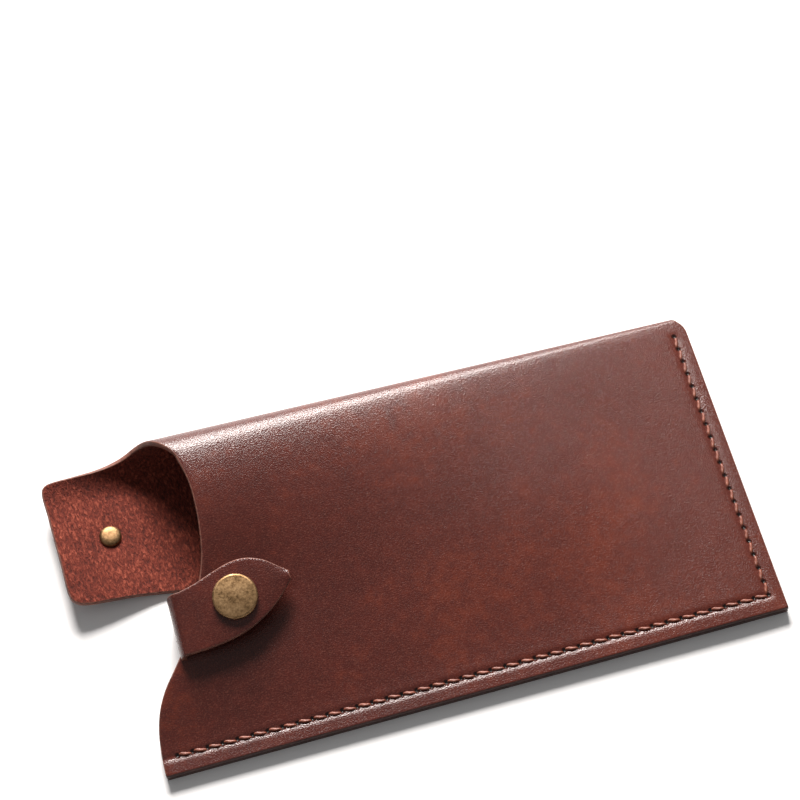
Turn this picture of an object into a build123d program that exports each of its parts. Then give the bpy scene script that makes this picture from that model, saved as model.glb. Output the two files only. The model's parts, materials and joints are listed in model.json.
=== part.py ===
"""Soft pouch glasses case: one folded leather sheet, sewn on two sides, closed by a press stud.

The pouch lies on its back panel. +X runs from the open mouth to the sewn end, +Y from the
sewn long edge to the fold, +Z up. Millimetres. Shapes are drawn with X = 0 and Y = 0 at the
mouth corner of the sewn long edge, and the finished case is then centred on its own box.
"""
import os
from math import asin, atan2, cos, degrees, hypot, radians, sin, tan

from build123d import *

# --- leather sheet -------------------------------------------------------------------------
pouch_length = 173.8
pouch_width = 94.1
sheet = 1.6
fold_radius_mouth = 10.8
fold_radius_end = 1.9
seam_flat = 6.5
fold_corner_radius = 6.0
end_corner_radius = 1.5

# --- mouth ---------------------------------------------------------------------------------
root_x = 15.0
fold_cut_low_x = 6.0
fold_cut_top_x = 23.0
mouth_curve = [(0, 9), (2.2, 16.5), (6.8, 23.2), (13.4, 28.4), (19.5, 43.5), (24, 57), (25.2, 70), (23, 84)]
notch_depth = 2.5

# --- seam ----------------------------------------------------------------------------------
stitch_pitch = 4.15
long_seam_stitches = 40
end_seam_stitches = 20
seam_inset_long = 4.7
seam_inset_end = 3.8
thread_radius = 0.36
leg_offset = 0.40
awl_width = 1.7
thread_clearance = 0.03

# --- closure strap -------------------------------------------------------------------------
strap_low_y = 28.7
strap_high_y = 45.2
strap_reach = 30.5
strap_bulge = 4.6
strap_tip_rise = 6.0
strap_tip_radius = 3.0
strap_bend_radius = 4.0
cap_x = 29.5
cap_y = 41.0

# --- closure flap --------------------------------------------------------------------------
flap_low_y = 53.8
flap_fold_inset = 1.6
flap_reach = 26.5
flap_taper = 1.5
flap_corner_radius = 6.0
flap_bend_length = 4.0
crease_shift = 10.0
flap_tilt = 9.7
stud_reach = 11.7
stud_y = 72.1

# --- press stud ----------------------------------------------------------------------------
cap_radius = 6.25
cap_height = 1.7
cap_wall = 0.45
cap_rim = 0.8
cap_dome = 0.3
post_radius = 1.5
post_wall = 0.35
post_roll_radius = 2.1
socket_radius = 5.2
socket_height = 2.7
socket_plate = 0.45
socket_bore = 3.0
spring_wire = 0.25
spring_groove = 0.3
stud_flange_radius = 4.7
stud_flange = 0.45
stud_neck_radius = 2.2
stud_head_radius = 2.5
stud_height = 2.2
dome_radius = 3.15
dome_height = 1.2
shank_radius = 1.3
rivet_clearance = 0.05
leather_hole_clearance = 0.15

# --- joints --------------------------------------------------------------------------------
running_gap = 0.3
riser_open_angle = 88.0
strap_open_angle = 83.0
flap_closed_angle = 116.0


def fold_radius(x):
    """Outer radius of the fold: it tapers evenly from the mouth to the sewn end."""
    return fold_radius_mouth + (fold_radius_end - fold_radius_mouth) * x / pouch_length


def front_slope(x):
    """Slope, in radians, of the front panel where it runs from the seam up to the fold."""
    r = fold_radius(x)
    run = pouch_width - r - seam_flat
    rise = r - 2 * sheet
    return atan2(rise, run) + asin(r / hypot(run, rise))


def front_height(x, y):
    """Height of the front panel's outer face."""
    return 2 * sheet + max(y - seam_flat, 0) * tan(front_slope(x))


def tangent_points(x):
    """Outer and inner points where the front panel runs into the fold, in a section at x."""
    r = fold_radius(x)
    slope = front_slope(x)
    centre = (pouch_width - r, r)
    outer = (centre[0] - r * sin(slope), centre[1] + r * cos(slope))
    inner = (centre[0] - (r - sheet) * sin(slope), centre[1] + (r - sheet) * cos(slope))
    return outer, inner


def front_section(x):
    """Section of the front panel: flat on the seam, then a straight rise to the fold."""
    outer, inner = tangent_points(x)
    crease = seam_flat + sheet * tan(front_slope(x) / 2)
    points = [(0, sheet), (0, 2 * sheet), (seam_flat, 2 * sheet), outer, inner, (crease, sheet)]
    return Plane.YZ.offset(x) * make_face(Polyline(*points, close=True))


def fold_section(x):
    """Section of the fold: a bent strip from the table round to the front panel."""
    r = fold_radius(x)
    outer, inner = tangent_points(x)
    centre_y = pouch_width - r
    edges = [
        ThreePointArc((centre_y, 0), (pouch_width, r), outer),
        Line(outer, inner),
        ThreePointArc(inner, (pouch_width - sheet, r), (centre_y, sheet)),
        Line((centre_y, sheet), (centre_y, 0)),
    ]
    return Plane.YZ.offset(x) * make_face(edges)


def flap_root_x(y):
    """Where the back panel ends under the flap: a slanting crease from the notch to the fold."""
    share = (y - flap_low_y) / (flap_high_y() - flap_low_y)
    return root_x - crease_shift * share


def end_trim():
    """Block with the plan outline of the sewn end, its fold corner well rounded."""
    tall = 4 * fold_radius_mouth
    reach = 2 * pouch_length
    block = Pos(pouch_length - reach / 2, pouch_width / 2) * Box(reach, pouch_width, tall)
    upright = block.edges().filter_by(Axis.Z).group_by(Axis.X)[-1].sort_by(Axis.Y)
    block = fillet(upright[-1:], fold_corner_radius)
    upright = block.edges().filter_by(Axis.Z).group_by(Axis.Y)[0].sort_by(Axis.X)
    return fillet(upright[-1:], end_corner_radius)


def mouth_trim():
    """Block right of the mouth curve, for the front panel."""
    tall = 4 * fold_radius_mouth
    first = mouth_curve[0]
    last = mouth_curve[-1]
    edges = [
        Spline(*mouth_curve),
        Polyline(last, (last[0], 2 * pouch_width), (2 * pouch_length, 2 * pouch_width),
                 (2 * pouch_length, -1), (0, -1), first),
    ]
    return Pos(0, 0, -tall / 2) * extrude(make_face(edges), tall)


def awl_holes():
    """One square awl hole through both layers at each stitch end."""
    hole = Box(awl_width, awl_width, 12 * sheet)
    return [Pos(x, y) * hole for x, y in stitch_points()]


def stitch_points():
    """Stitch ends, from the fold down the sewn end, round the corner and along the long edge."""
    corner_x = pouch_length - seam_inset_end
    down = [(corner_x, seam_inset_long + i * stitch_pitch) for i in range(end_seam_stitches, 0, -1)]
    along = [(corner_x - i * stitch_pitch, seam_inset_long) for i in range(long_seam_stitches + 1)]
    return down + along


def bobbin_groove():
    """Shallow channel under the back panel that the lower thread lies in."""
    side = 2 * (thread_radius + thread_clearance)
    corner_x = pouch_length - seam_inset_end
    run_x = long_seam_stitches * stitch_pitch
    run_y = end_seam_stitches * stitch_pitch
    along = Pos(corner_x - run_x / 2, seam_inset_long, side / 2) * Box(run_x + side, side, side)
    down = Pos(corner_x, seam_inset_long + run_y / 2, side / 2) * Box(side, run_y + side, side)
    return along + down


def make_back_panel():
    """Flat lower layer, with the notch between the strap and the flap."""
    start = pouch_width - fold_radius(0)
    end = pouch_width - fold_radius(pouch_length)
    slant = (end - start) / pouch_length
    near_x = flap_root_x(start)
    near_y = start + slant * near_x
    far_x = pouch_length + 1
    far_y = start + slant * far_x
    low = [mouth_curve[0], mouth_curve[1], mouth_curve[2], (root_x, strap_low_y)]
    notch_x = root_x + notch_depth
    notch = (strap_high_y + flap_low_y) / 2
    edges = [
        Spline(*low),
        Line((root_x, strap_low_y), (root_x, strap_high_y)),
        ThreePointArc((root_x, strap_high_y), (notch_x, notch), (root_x, flap_low_y)),
        Polyline((root_x, flap_low_y), (near_x, near_y), (far_x, far_y), (far_x, 0), (0, 0), mouth_curve[0]),
    ]
    panel = extrude(make_face(edges), sheet) & end_trim()
    return panel - awl_holes() - bobbin_groove()


def make_fold_spine():
    """Tapered fold, cut on a slant at the mouth."""
    fold = loft([fold_section(0), fold_section(pouch_length)], ruled=True)
    top = 2 * fold_radius_mouth
    slope = (fold_cut_top_x - fold_cut_low_x) / top
    wedge = Polyline((-root_x, -1), (fold_cut_low_x - slope, -1), (fold_cut_top_x + slope, top + 1),
                     (-root_x, top + 1), close=True)
    cutter = extrude(Plane.XZ * make_face(wedge), -2 * pouch_width)
    return (fold - cutter) & end_trim()


def make_front_panel():
    """Upper layer, cut to the mouth curve and pierced by the seam."""
    panel = loft([front_section(0), front_section(pouch_length)], ruled=True)
    return ((panel & end_trim()) - awl_holes()) & mouth_trim()


def stitch():
    """One stitch: a bar on the leather and a leg into the hole at each end."""
    half = stitch_pitch / 2 - leg_offset
    leg = sheet - 2 * thread_clearance
    bar = Rot(0, 90, 0) * Cylinder(thread_radius, 2 * half)
    made = bar
    for side in (-half, half):
        made += Pos(side, 0, -leg / 2) * Cylinder(thread_radius, leg)
        made += Pos(side, 0, 0) * Sphere(thread_radius)
    return made


def seam_thread(upper):
    """All stitches of one thread: the upper one on the front panel, the lower in its groove."""
    one = stitch() if upper else Rot(180, 0, 0) * stitch()
    lift = thread_radius + thread_clearance
    points = stitch_points()
    placed = []
    for (x0, y0), (x1, y1) in zip(points[:-1], points[1:]):
        turn = degrees(atan2(y1 - y0, x1 - x0))
        z = max(front_height(x0, y0), front_height(x1, y1)) + lift if upper else lift
        placed.append(Pos((x0 + x1) / 2, (y0 + y1) / 2, z) * Rot(0, 0, turn) * one)
    return Compound(children=placed)


def strap_plane():
    """Middle of the strap at the cap, parallel to the front panel below it."""
    tilt = front_slope(cap_x)
    lift = socket_height + running_gap + sheet / 2
    highest = front_height(cap_x - socket_radius, cap_y)
    origin = (cap_x, cap_y - lift * sin(tilt), highest + lift * cos(tilt))
    return Plane(origin=origin, x_dir=(1, 0, 0), z_dir=(0, -sin(tilt), cos(tilt)))


def strap_level(y):
    """Height of the strap's middle over a place y in plan."""
    plane = strap_plane()
    return plane.origin.Z + (y - plane.origin.Y) * tan(front_slope(cap_x))


def make_closure_strap():
    """Pointed leaf that lies over the front panel, pierced for the cap's post."""
    plane = strap_plane()
    stretch = 1 / cos(front_slope(cap_x))
    root = root_x - cap_x
    low = (strap_low_y - plane.origin.Y) * stretch
    high = (strap_high_y - plane.origin.Y) * stretch
    tip = (root + strap_reach, (low + high) / 2 + strap_tip_rise)
    middle = root + strap_reach * 0.6
    shoulder = (middle, high + strap_bulge)
    flank = (middle, low + strap_bulge / 3)
    edges = [
        ThreePointArc((root, high), (root + strap_reach * 0.25, high + strap_bulge * 0.45), shoulder),
        ThreePointArc(shoulder, (middle + strap_reach * 0.27, high + strap_bulge * 0.35), tip),
        ThreePointArc(tip, (middle + strap_reach * 0.24, low + strap_bulge * 1.35), flank),
        ThreePointArc(flank, (root + strap_reach * 0.3, low + strap_bulge * 0.05), (root, low)),
        Line((root, low), (root, high)),
    ]
    leaf = make_face(edges)
    leaf = fillet(leaf.vertices().sort_by(Axis.X)[-1:], strap_tip_radius)
    hole = Cylinder(post_radius + leather_hole_clearance, 2 * sheet)
    return plane * (extrude(leaf, sheet / 2, both=True) - hole)


def bend_arc(corner, turn_x, turn_z, radius):
    """Quarter arc of a bend, from the level end to the upright end, around its centre."""
    x, z = corner
    k = radius * cos(radians(45))
    return ThreePointArc((x, z + turn_z * radius), (x + turn_x * k, z + turn_z * k), (x + turn_x * radius, z))


def bend_section(y, centre_z, turn_z):
    """Section of a quarter bend of the sheet at a place y, its centre at the strap's root."""
    r = strap_bend_radius
    inner = r - sheet
    centre = (root_x, centre_z)
    outside = bend_arc(centre, -1, turn_z, r)
    inside = bend_arc(centre, -1, turn_z, inner)
    edges = [outside, Line(outside @ 1, inside @ 1), inside, Line(inside @ 0, outside @ 0)]
    return Plane.XZ.offset(-y) * make_face(edges)


def riser_top(y):
    """Height at which the upright part of the strap turns over to the leaf."""
    return strap_level(y) + sheet / 2 - strap_bend_radius


def make_strap_low_bend():
    """Quarter bend from the back panel up to the riser."""
    ends = [bend_section(y, strap_bend_radius, -1) for y in (strap_low_y, strap_high_y)]
    return loft(ends, ruled=True)


def make_strap_riser():
    """Upright part of the strap, which passes the mouth edge; higher towards the fold."""
    left = root_x - strap_bend_radius
    ends = []
    for y in (strap_low_y, strap_high_y):
        corners = [(left, strap_bend_radius), (left + sheet, strap_bend_radius),
                   (left + sheet, riser_top(y)), (left, riser_top(y))]
        ends.append(Plane.XZ.offset(-y) * make_face(Polyline(*corners, close=True)))
    return loft(ends, ruled=True)


def make_strap_high_bend():
    """Quarter bend from the riser over to the leaf."""
    ends = [bend_section(y, riser_top(y), 1) for y in (strap_low_y, strap_high_y)]
    return loft(ends, ruled=True)


def flap_high_y():
    """Upper edge of the flap, set in from the fold."""
    return pouch_width - flap_fold_inset


def flap_plane():
    """Middle of the flap at the stud; the stud stands on the table and tilts the flap."""
    tilt = radians(flap_tilt)
    lift = (stud_height + sheet / 2) * cos(tilt) + stud_head_radius * sin(tilt)
    origin = (root_x - flap_bend_length - stud_reach, stud_y, lift)
    return Plane(origin=origin, x_dir=(cos(tilt), 0, -sin(tilt)), z_dir=(sin(tilt), 0, cos(tilt)))


def make_closure_flap():
    """Wide tongue of the sheet, laid open beside the mouth, pierced for the stud's rivet."""
    low = flap_low_y - stud_y
    high = flap_high_y() - stud_y
    right = stud_reach
    left = stud_reach - flap_reach
    corners = [(right, low), (right - crease_shift, high), (left, high), (left + flap_taper, low + flap_taper)]
    outline = make_face(Polyline(*corners, close=True))
    outline = fillet(outline.vertices().sort_by(Axis.X)[:2], flap_corner_radius)
    hole = Cylinder(shank_radius + leather_hole_clearance, 2 * sheet)
    return flap_plane() * (extrude(outline, sheet / 2, both=True) - hole)


def make_flap_bend():
    """Short strip along the crease, between the back panel and the flap."""
    plane = flap_plane()
    ends = []
    for y in (flap_low_y, pouch_width - fold_radius(0) - running_gap):
        near = stud_reach - (root_x - flap_root_x(y))
        top = plane.from_local_coords((near, y - stud_y, sheet / 2))
        bottom = plane.from_local_coords((near, y - stud_y, -sheet / 2))
        corners = [(flap_root_x(y), 0), (flap_root_x(y), sheet), (top.X, top.Z), (bottom.X, bottom.Z)]
        ends.append(Plane.XZ.offset(-y) * make_face(Polyline(*corners, close=True)))
    return loft(ends, ruled=True)


def make_snap_cap():
    """Domed cap with a rounded rim, and the hollow post that is rolled over in the socket."""
    face = sheet / 2
    crown = face + cap_height
    post_end = -face - socket_plate - post_wall
    shoulder_x = cap_radius - cap_rim
    shoulder = crown - cap_dome
    rim_end = face + cap_rim / 2
    inside = post_radius - post_wall
    under = crown - cap_wall
    outline = Polyline(
        (cap_radius, rim_end), (cap_radius, face), (shoulder_x, face), (shoulder_x, shoulder - cap_wall),
        (post_radius, under), (post_radius, post_end + post_wall), (post_roll_radius, post_end + post_wall),
        (post_roll_radius, post_end), (inside, post_end), (inside, under), (0, under), (0, crown),
    )
    bulge = cap_rim * (1 - cos(radians(45)))
    rim = ThreePointArc((cap_radius, rim_end), (cap_radius - bulge, shoulder - bulge), (shoulder_x, shoulder))
    dome = ThreePointArc((shoulder_x, shoulder), (shoulder_x / 2, crown - cap_dome / 4), (0, crown))
    cap = revolve(Plane.XZ * make_face([*outline.edges(), rim, dome]), Axis.Z)
    return strap_plane() * cap


def make_snap_socket():
    """Ring under the strap that grips the stud, its plate held by the cap's post."""
    top = -sheet / 2
    bottom = top - socket_height
    plate = top - socket_plate
    hole = post_radius + rivet_clearance
    lip = socket_bore - spring_groove
    groove_high = (plate + bottom) / 2 + spring_wire + rivet_clearance
    groove_low = groove_high - 2 * (spring_wire + rivet_clearance)
    outline = Polyline((hole, top), (socket_radius, top), (socket_radius, top - 1.0), (socket_radius - 0.6, bottom),
                       (lip, bottom), (lip, groove_low), (socket_bore, groove_low), (socket_bore, groove_high),
                       (lip, groove_high), (lip, plate), (hole, plate), close=True)
    return strap_plane() * revolve(Plane.XZ * make_face(outline), Axis.Z)


def make_socket_spring():
    """Spring wire ring that lies in the socket's groove."""
    plate = -sheet / 2 - socket_plate
    middle = (plate - sheet / 2 - socket_height) / 2
    ring = Torus(socket_bore - spring_wire - rivet_clearance, spring_wire)
    return strap_plane() * (Pos(0, 0, middle) * ring)


def make_snap_stud():
    """Stud on the grain side: a flange on the leather, a neck and a bulged hollow head."""
    top = -sheet / 2
    bottom = top - stud_height
    hole = shank_radius + rivet_clearance
    outline = Polyline((hole, top), (stud_flange_radius, top), (stud_flange_radius, top - stud_flange),
                       (stud_neck_radius, top - stud_flange), (stud_neck_radius, top - 0.9),
                       (stud_head_radius, top - 1.4), (stud_head_radius, bottom + 0.3),
                       (stud_head_radius - 0.3, bottom), (hole, bottom), close=True)
    return flap_plane() * revolve(Plane.XZ * make_face(outline), Axis.Z)


def make_stud_post():
    """Rivet with a small dome on the suede side; its shank holds the stud."""
    face = sheet / 2
    end = -face - stud_height + 0.2
    side = Polyline((dome_radius, face), (shank_radius, face), (shank_radius, end), (0, end), (0, face + dome_height))
    dome = ThreePointArc((0, face + dome_height), (dome_radius * 0.72, face + dome_height * 0.7), (dome_radius, face))
    return flap_plane() * revolve(Plane.XZ * make_face([*side.edges(), dome]), Axis.Z)


def riser_hinge():
    """Axis point and direction, along the low bend, that lay the riser down beside the mouth."""
    reach = (strap_bend_radius - sheet / 2) * cos(radians(45))
    return (root_x - reach, cap_y, strap_bend_radius - reach), (0, -1, 0)


def strap_hinge():
    """Axis point and direction, along the high bend, that open the leaf until its cap lies down."""
    reach = (strap_bend_radius - sheet / 2) * cos(radians(45))
    tilt = front_slope(cap_x)
    return (root_x - reach, cap_y, riser_top(cap_y) + reach), (0, -cos(tilt), -sin(tilt))


def flap_hinge():
    """Axis point and direction, along the crease, that fold the flap up over the mouth."""
    plane = flap_plane()
    ends = []
    for y in (flap_low_y, flap_high_y()):
        near = stud_reach - (root_x - flap_root_x(y))
        edge = plane.from_local_coords((near, y - stud_y, 0))
        ends.append(Vector((edge.X + flap_root_x(y)) / 2, y, (edge.Z + sheet / 2) / 2))
    axis = (ends[1] - ends[0]).normalized()
    middle = (ends[0] + ends[1]) / 2
    return (middle.X, middle.Y, middle.Z), (axis.X, axis.Y, axis.Z)


def build():
    """Every sub-part by name, centred on the finished case's own box."""
    nodes = {
        "back_panel": make_back_panel(),
        "fold_spine": make_fold_spine(),
        "front_panel": make_front_panel(),
        "needle_thread": seam_thread(True),
        "bobbin_thread": seam_thread(False),
        "closure_strap": make_closure_strap(),
        "strap_low_bend": make_strap_low_bend(),
        "strap_riser": make_strap_riser(),
        "strap_high_bend": make_strap_high_bend(),
        "snap_cap": make_snap_cap(),
        "snap_socket": make_snap_socket(),
        "socket_spring": make_socket_spring(),
        "closure_flap": make_closure_flap(),
        "flap_bend": make_flap_bend(),
        "snap_stud": make_snap_stud(),
        "stud_post": make_stud_post(),
    }
    boxes = [shape.bounding_box() for shape in nodes.values()]
    low = Vector(min(b.min.X for b in boxes), min(b.min.Y for b in boxes), min(b.min.Z for b in boxes))
    high = Vector(max(b.max.X for b in boxes), max(b.max.Y for b in boxes), max(b.max.Z for b in boxes))
    shift = Vector(-(low.X + high.X) / 2, -(low.Y + high.Y) / 2, -low.Z)
    return {name: Pos(shift) * shape for name, shape in nodes.items()}, shift


if __name__ == "__main__":
    os.makedirs("parts", exist_ok=True)
    made, offset = build()
    for name, shape in made.items():
        export_step(shape, f"parts/{name}.step")
    print("centred by", tuple(round(v, 4) for v in offset))
    turns = (
        ("flap_hinge", flap_hinge(), flap_closed_angle),
        ("riser_hinge", riser_hinge(), riser_open_angle),
        ("strap_hinge", strap_hinge(), strap_open_angle),
    )
    for name, (point, axis), angle in turns:
        centre = tuple(round(p + o, 4) for p, o in zip(point, offset))
        print(name, "through", centre, "along", tuple(round(a, 5) for a in axis), "by", angle, "degrees")
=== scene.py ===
"""Soft pouch glasses case: leather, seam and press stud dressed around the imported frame.

The leather is one cut sheet, folded along the long edge. Sizes inside the classes are in
millimetres, measured from the mouth corner of the sewn long edge: x runs to the sewn end,
y to the fold and z up. Layout turns them into metres in the frame's own place.
"""

import json
import logging
import math
from dataclasses import dataclass, field
from enum import Enum

import bpy
import numpy as np
from mathutils import Matrix, Vector


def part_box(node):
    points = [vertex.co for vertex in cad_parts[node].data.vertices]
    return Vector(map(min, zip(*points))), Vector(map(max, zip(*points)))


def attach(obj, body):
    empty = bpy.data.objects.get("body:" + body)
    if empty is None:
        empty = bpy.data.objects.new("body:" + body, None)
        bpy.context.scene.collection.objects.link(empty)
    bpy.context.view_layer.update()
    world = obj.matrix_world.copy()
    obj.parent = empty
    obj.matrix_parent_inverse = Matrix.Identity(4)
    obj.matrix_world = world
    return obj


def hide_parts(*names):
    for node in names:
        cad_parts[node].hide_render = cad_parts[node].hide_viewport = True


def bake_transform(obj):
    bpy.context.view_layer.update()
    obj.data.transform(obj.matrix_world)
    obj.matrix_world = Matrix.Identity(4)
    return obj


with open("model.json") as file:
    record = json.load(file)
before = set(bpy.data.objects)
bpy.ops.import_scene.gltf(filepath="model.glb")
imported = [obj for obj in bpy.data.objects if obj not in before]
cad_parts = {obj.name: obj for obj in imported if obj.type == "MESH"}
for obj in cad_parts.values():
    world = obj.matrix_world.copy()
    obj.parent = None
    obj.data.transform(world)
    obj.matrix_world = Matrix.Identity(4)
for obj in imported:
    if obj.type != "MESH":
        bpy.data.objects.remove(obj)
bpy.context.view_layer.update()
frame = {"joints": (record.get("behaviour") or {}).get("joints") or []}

MM = 0.001
REST_PLACE = "rest_place"
LOG = logging.getLogger("glasses_case")
Array = np.ndarray
Material = bpy.types.Material
Socket = bpy.types.NodeSocket


class Body(Enum):
    """The rigid bodies that the pieces ride on."""

    POUCH = "pouch"
    FLAP = "flap"
    RISER = "riser"
    STRAP = "strap"


class Side(Enum):
    """The faces of the leather sheet, in the order of its material slots."""

    GRAIN = 0
    SUEDE = 1
    EDGE = 2


def smooth_step(t: Array) -> Array:
    """Cubic ease: three t squared less two t cubed, with t held inside 0 to 1."""
    held = np.clip(t, 0.0, 1.0)
    return held * held * (3.0 - 2.0 * held)


def bell(distance: Array, width: float) -> Array:
    """Bell curve, 1 at no distance: e to the power of minus the squared ratio."""
    return np.exp(-((distance / width) ** 2))


def through(points: list, count: int) -> Array:
    """Smooth line through control points, each stretch a Catmull-Rom cubic.

    Args:
        points: Control points in order.
        count: Samples on each stretch.

    Returns:
        Array of points, from the first control point to the last.
    """
    p = np.asarray(points, float)
    p = np.vstack([2 * p[0] - p[1], p, 2 * p[-1] - p[-2]])
    t = np.linspace(0.0, 1.0, count, endpoint=False)[None, :, None]
    a, b, c, d = (p[i:len(p) - 3 + i, None, :] for i in range(4))
    cubic = 0.5 * (2 * b + (c - a) * t + (2 * a - 5 * b + 4 * c - d) * t ** 2
                   + (3 * b - a - 3 * c + d) * t ** 3)
    return np.vstack([cubic.reshape(-1, p.shape[1]), p[-2]])


def unit(vectors: Array) -> Array:
    """Vectors divided by their lengths."""
    return vectors / np.maximum(np.linalg.norm(vectors, axis=-1, keepdims=True), 1e-12)


@dataclass
class Layout:
    """Where the case lies in the frame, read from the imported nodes' boxes."""

    origin: Array = field(init=False)
    length: float = field(init=False)
    width: float = field(init=False)
    sheet: float = field(init=False)

    def __post_init__(self) -> None:
        """Reads the boxes."""
        low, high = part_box("back_panel")
        fold_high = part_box("fold_spine")[1]
        self.origin = np.array([low.x, low.y, 0.0]) / MM
        self.length = (high.x - low.x) / MM
        self.width = (fold_high.y - low.y) / MM
        self.sheet = (high.z - low.z) / MM

    def metres(self, points: Array) -> Array:
        """Millimetres from the mouth corner, as metres in the frame."""
        return (points + self.origin) * MM

    def centre(self, node: str) -> Array:
        """Middle of a node's box, in millimetres from the mouth corner."""
        low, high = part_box(node)
        return np.array((low + high) / 2) / MM - self.origin


@dataclass
class MeshData:
    """Vertices in millimetres, faces as index rows, and one material slot for each face."""

    points: Array
    faces: list
    slots: Array
    sharp: Array = field(default_factory=lambda: np.zeros(0, int))

    def make(self, name: str, layout: Layout, finishes: list) -> bpy.types.Object:
        """Makes a smooth-shaded object at the origin.

        Args:
            name: The piece's name.
            layout: Turns millimetres into the frame's metres.
            finishes: Materials, in slot order.

        Returns:
            The new object.
        """
        placed = layout.metres(self.points)
        mesh = bpy.data.meshes.new(name)
        mesh.from_pydata(placed.tolist(), [], [tuple(f) for f in self.faces])
        for finish in finishes:
            mesh.materials.append(finish)
        mesh.polygons.foreach_set("material_index", self.slots.astype(np.int32))
        mesh.polygons.foreach_set("use_smooth", np.ones(len(mesh.polygons), bool))
        pairs = np.empty(2 * len(mesh.edges), np.int32)
        mesh.edges.foreach_get("vertices", pairs)
        hard = np.isin(pairs.reshape(-1, 2), self.sharp).all(1)
        mesh.attributes.new("sharp_edge", "BOOLEAN", "EDGE").data.foreach_set("value", hard)
        rest = mesh.attributes.new(REST_PLACE, "FLOAT_VECTOR", "POINT")
        rest.data.foreach_set("vector", placed.astype(np.float32).ravel())
        mesh.update()
        made = bpy.data.objects.new(name, mesh)
        bpy.context.scene.collection.objects.link(made)
        return made


def quads(rows: int, columns: int, closed: bool = False) -> Array:
    """Index rows of the quads of a grid, wound from row to row first.

    Args:
        rows: Number of grid rows.
        columns: Number of grid columns.
        closed: Whether the last column joins the first.

    Returns:
        One row of four indices for each quad.
    """
    last = columns if closed else columns - 1
    i, j = np.meshgrid(np.arange(rows - 1), np.arange(last), indexing="ij")
    k = (j + 1) % columns
    corners = [i * columns + j, (i + 1) * columns + j, (i + 1) * columns + k, i * columns + k]
    return np.stack(corners, -1).reshape(-1, 4)


def pole_fans(rows: int, columns: int) -> Array:
    """Triangles that close a tube of quads with a pole at each end.

    The poles are the two points that come after the tube's own.

    Args:
        rows: Rings of the tube.
        columns: Points on each ring.

    Returns:
        One row of three indices for each triangle.
    """
    count = rows * columns
    around = np.arange(columns)
    after = (around + 1) % columns
    last = count - columns
    first_fan = np.stack([np.full(columns, count), around, after], -1)
    last_fan = np.stack([np.full(columns, count + 1), last + after, last + around], -1)
    return np.vstack([first_fan, last_fan])


@dataclass
class LeatherSheet:
    """A sheet with thickness, built on a grid of middle points and grain-side normals."""

    middle: Array
    normal: Array
    grain_lift: Array
    suede_lift: Array
    edge_round: float = 0.32
    edge_steps: int = 5
    joined_column: int | None = None

    def boundary(self) -> Array:
        """Grid indices once round the sheet's edge."""
        rows, columns = self.middle.shape[:2]
        index = np.arange(rows * columns).reshape(rows, columns)
        return np.concatenate([index[:, 0], index[-1, 1:], index[-2::-1, -1], index[0, -2:0:-1]])

    def build(self) -> MeshData:
        """Closes the sheet: grain face, suede face and a rounded edge between them.

        The edge's profile is a squarish half round: across the thickness it follows a sine
        and outwards a cosine, both raised to a power under one.

        Returns:
            The closed mesh, with its faces marked by Side.
        """
        rows, columns = self.middle.shape[:2]
        count = rows * columns
        grain = (self.middle + self.normal * self.grain_lift[..., None]).reshape(-1, 3)
        suede = (self.middle - self.normal * self.suede_lift[..., None]).reshape(-1, 3)
        ring = self.boundary()
        centre = self.middle.reshape(-1, 3)[ring]
        along = unit(np.roll(centre, -1, 0) - np.roll(centre, 1, 0))
        outward = unit(np.cross(self.normal.reshape(-1, 3)[ring], along))
        inner_row = self.middle[rows // 2, 1]
        first = self.middle[rows // 2, 0]
        if np.dot(outward[rows // 2], first - inner_row) < 0:
            outward = -outward
        angle = np.linspace(math.pi / 2, -math.pi / 2, self.edge_steps + 2)[1:-1]
        share = (1 - np.sign(np.sin(angle)) * np.abs(np.sin(angle)) ** 0.8) / 2
        joined = self.joined(ring)
        reach = self.edge_round * np.cos(angle)[:, None] ** 0.7 * ~joined
        rim = (grain[ring][None] * (1 - share)[:, None, None] + suede[ring][None] * share[:, None, None]
               + outward[None] * reach[..., None])
        points = np.vstack([grain, suede, rim.reshape(-1, 3)])
        face = quads(rows, columns)
        loops = [ring]
        loops += [2 * count + k * len(ring) + np.arange(len(ring)) for k in range(self.edge_steps)]
        loops.append(ring + count)
        band = quads(len(loops), len(ring), closed=True)
        edge = np.concatenate(loops)[band]
        edge = edge if self.edge_faces_out(points, edge, outward) else edge[:, ::-1]
        faces = np.vstack([face, face[:, ::-1] + count, edge])
        slots = np.concatenate([
            np.full(len(face), Side.GRAIN.value), np.full(len(face), Side.SUEDE.value),
            np.full(len(edge), Side.EDGE.value)])
        return MeshData(points, faces.tolist(), slots, np.concatenate([loop[joined] for loop in loops]))

    def joined(self, ring: Array) -> Array:
        """Which points of the edge lie on the column where another stretch carries on."""
        if self.joined_column is None:
            return np.zeros(len(ring), bool)
        columns = self.middle.shape[1]
        return ring % columns == self.joined_column % columns

    def paint_turn(self, piece: bpy.types.Object, share: Array) -> None:
        """Does nothing: the share of the joint's turn at each grid point is not written to the piece."""

    def edge_faces_out(self, points: Array, edge: Array, outward: Array) -> bool:
        """Whether the edge's middle band is wound to face outwards."""
        ring = len(outward)
        band = edge[ring * (self.edge_steps // 2):ring * (self.edge_steps // 2 + 1)]
        a, b, _, d = (points[band[:, i]] for i in range(4))
        return float(np.sum(np.cross(b - a, d - a) * outward)) > 0


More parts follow.
